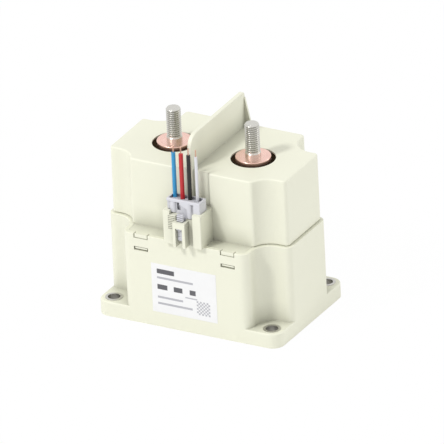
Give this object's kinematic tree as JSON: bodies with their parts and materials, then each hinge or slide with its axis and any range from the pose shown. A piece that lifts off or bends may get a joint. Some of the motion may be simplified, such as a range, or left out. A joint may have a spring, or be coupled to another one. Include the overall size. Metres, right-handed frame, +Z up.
{
  "type": "high voltage dc contactor",
  "caption": "High-voltage DC contactor: moulded housing with mounting flange, barrier wall between stud terminals, front plug with short wires; coil, contacts and auxiliary switch inside.",
  "frame": {"origin": "centre of the mounting hole pattern on the base underside", "axes": "+Z up out of the mounting surface along the terminal studs, +X along the line of the two terminals, -Y towards the wire plug"},
  "size_m": [0.137, 0.0999, 0.1392],
  "materials": {
    "cream_housing": "moulded, fine matt texture",
    "label": "satin print film",
    "bushing_steel": "turned",
    "copper": "turned copper, satin",
    "stud_steel": "rolled thread, passivated",
    "potting": "cast resin",
    "magnet_steel": "zinc plated",
    "bobbin_plastic": "moulded",
    "winding_copper": "enamelled wire",
    "thin_steel": "drawn",
    "rubber_pad": "matt",
    "spring_steel": "drawn wire",
    "arm_plastic": "moulded",
    "contact_alloy": "silver alloy",
    "ceramic": "fired",
    "magnet_black": "sintered",
    "switch_black": "moulded",
    "switch_red": "moulded",
    "glass_bead": "fused",
    "board_green": "solder mask",
    "component_black": "moulded",
    "capacitor_can": "drawn can",
    "tin_plate": "tin plated",
    "plug_plastic": "moulded",
    "wire_blue": "extruded insulation",
    "wire_red": "extruded insulation",
    "wire_black": "extruded insulation",
    "wire_white": "extruded insulation",
    "strand_copper": "stranded, bare"
  },
  "bodies": {
    "housing": {"lower_case": "cream_housing", "upper_cover": "cream_housing", "mounting_bushings": "bushing_steel", "rating_label": "label", "yoke_frame": "magnet_steel", "yoke_plate": "magnet_steel", "yoke_screws": "magnet_steel", "coil_bobbin": "bobbin_plastic", "coil_winding": "winding_copper", "coil_leads": "tin_plate", "core_sleeve": "thin_steel", "rest_pad": "rubber_pad", "fixed_core": "magnet_steel", "core_shim": "thin_steel", "return_spring": "spring_steel", "fixed_contact_tips": "contact_alloy", "chamber_base": "thin_steel", "arc_chamber": "ceramic", "terminal_post_left": "copper", "terminal_post_right": "copper", "terminal_stud_left": "stud_steel", "terminal_stud_right": "stud_steel", "gas_tube": "copper", "potting_compound": "potting", "blowout_magnets": "magnet_black", "magnet_yokes": "magnet_steel", "aux_switch_body": "switch_black", "aux_leads": "tin_plate", "feedthrough_beads": "glass_bead", "control_board": "board_green", "board_capacitor": "capacitor_can", "board_transistors": "component_black", "board_chip": "component_black", "header_pins": "tin_plate", "plug_housing": "plug_plastic", "plug_contacts": "tin_plate", "wire_blue": "wire_blue", "conductor_blue": "strand_copper", "wire_red": "wire_red", "conductor_red": "strand_copper", "wire_black": "wire_black", "conductor_black": "strand_copper", "wire_white": "wire_white", "conductor_white": "strand_copper"},
    "armature": {"moving_core": "magnet_steel", "drive_shaft": "thin_steel", "actuator_arm": "arm_plastic", "retaining_clip": "spring_steel"},
    "contact_bridge": {"moving_contact": "copper", "moving_contact_tips": "contact_alloy", "contact_spring": "spring_steel"},
    "aux_plunger": {"aux_switch_plunger": "switch_red"},
    "latch_lever": {"plug_latch": "plug_plastic"}
  },
  "joints": [
    {"name": "armature_slide", "type": "slide", "parent": "housing", "child": "armature", "axis": [0, 0, 1], "range_m": [0, 0.0032], "stiffness_N_per_m": 900, "springref_m": -0.005, "deforming": ["return_spring"]},
    {"name": "contact_slide", "type": "slide", "parent": "housing", "child": "contact_bridge", "axis": [0, 0, 1], "range_m": [0, 0.0024], "deforming": ["contact_spring"]},
    {"name": "aux_plunger_slide", "type": "slide", "parent": "housing", "child": "aux_plunger", "axis": [0, 0, 1], "range_m": [0, 0.001]},
    {"name": "latch_press", "type": "hinge", "parent": "housing", "child": "latch_lever", "pos_m": [0.0004, -0.0499, 0.0712], "axis": [-1, 0, 0], "range_deg": [0, 7.5], "stiffness_Nm_per_rad": 0.05}
  ],
  "couplings": [
    {"joint": "contact_slide", "follows": "armature_slide", "ratio": 0.75},
    {"joint": "aux_plunger_slide", "follows": "armature_slide", "ratio": 0.3125}
  ]
}
